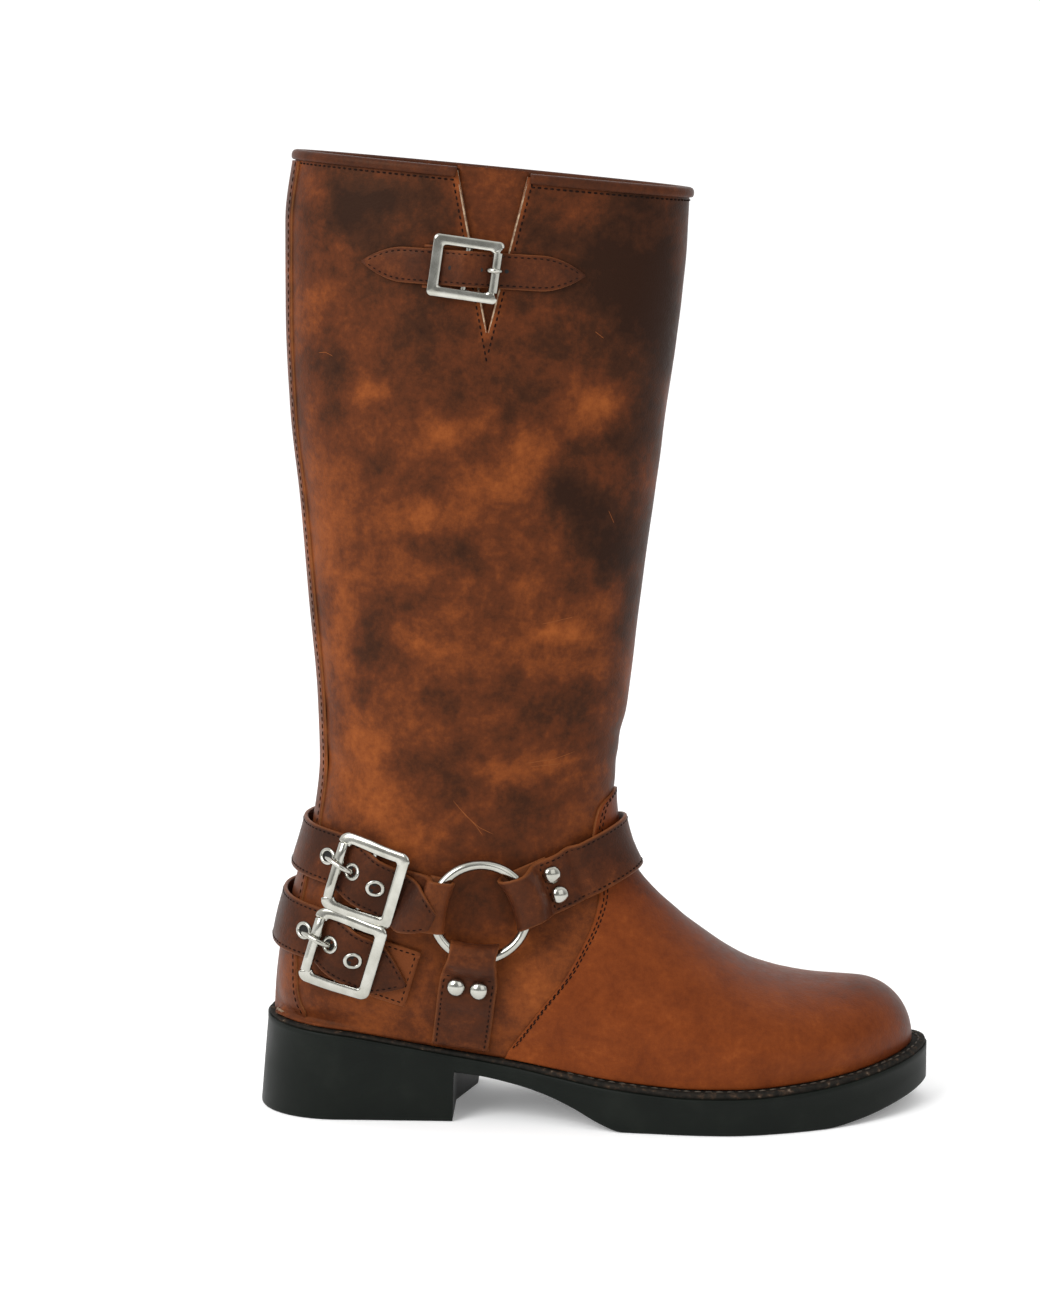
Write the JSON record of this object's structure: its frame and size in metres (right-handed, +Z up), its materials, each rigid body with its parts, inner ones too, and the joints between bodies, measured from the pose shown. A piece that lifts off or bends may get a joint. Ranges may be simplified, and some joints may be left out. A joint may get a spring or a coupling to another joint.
{
  "type": "tall biker boot",
  "caption": "Tall brown leather biker boot with harness rings, heel straps with roller buckles, a buckled V cut at the collar and a black rubber sole.",
  "frame": {"origin": "on the floor, under the middle of the boot's bounding box", "axes": "+X from the heel to the toe, +Y to the medial side, +Z up along the shaft"},
  "size_m": [0.28, 0.1012, 0.3964],
  "materials": {
    "rubber_black": "smooth matt moulded rubber",
    "lining_tan": "plain unfinished lining leather",
    "leather_brown": "oiled pull-up leather, mottled dark brown to orange brown",
    "strap_brown": "oiled strap leather with raw orange edges",
    "nickel": "polished nickel plate"
  },
  "bodies": {
    "root": {"outsole": "rubber_black", "welt": "rubber_black", "insole": "lining_tan", "upper_shaft": "leather_brown", "upper_foot": "leather_brown", "vamp": "leather_brown", "back_stay": "leather_brown", "collar_binding": "strap_brown", "gusset": "leather_brown", "ring_lateral": "nickel", "ring_medial": "nickel", "strap_front": "strap_brown", "rivet_front_lateral_1": "nickel", "rivet_front_lateral_2": "nickel", "rivet_front_medial_1": "nickel", "rivet_front_medial_2": "nickel", "strap_down_lateral": "strap_brown", "rivet_down_lateral_1": "nickel", "rivet_down_lateral_2": "nickel", "strap_down_medial": "strap_brown", "rivet_down_medial_1": "nickel", "rivet_down_medial_2": "nickel", "strap_heel_upper": "strap_brown", "anchor_heel_upper": "strap_brown", "buckle_heel_upper_frame": "nickel", "buckle_heel_upper_roller": "nickel", "buckle_heel_upper_prong": "nickel", "strap_heel_lower": "strap_brown", "anchor_tab_lower": "strap_brown", "buckle_heel_lower_frame": "nickel", "buckle_heel_lower_roller": "nickel", "buckle_heel_lower_prong": "nickel", "eyelet_upper_1": "nickel", "eyelet_upper_2": "nickel", "eyelet_upper_3": "nickel", "eyelet_lower_1": "nickel", "eyelet_lower_2": "nickel", "eyelet_lower_3": "nickel", "strap_top": "strap_brown", "anchor_tab_top": "strap_brown", "buckle_top_frame": "nickel", "buckle_top_roller": "nickel", "buckle_top_prong": "nickel"}
  },
  "joints": []
}
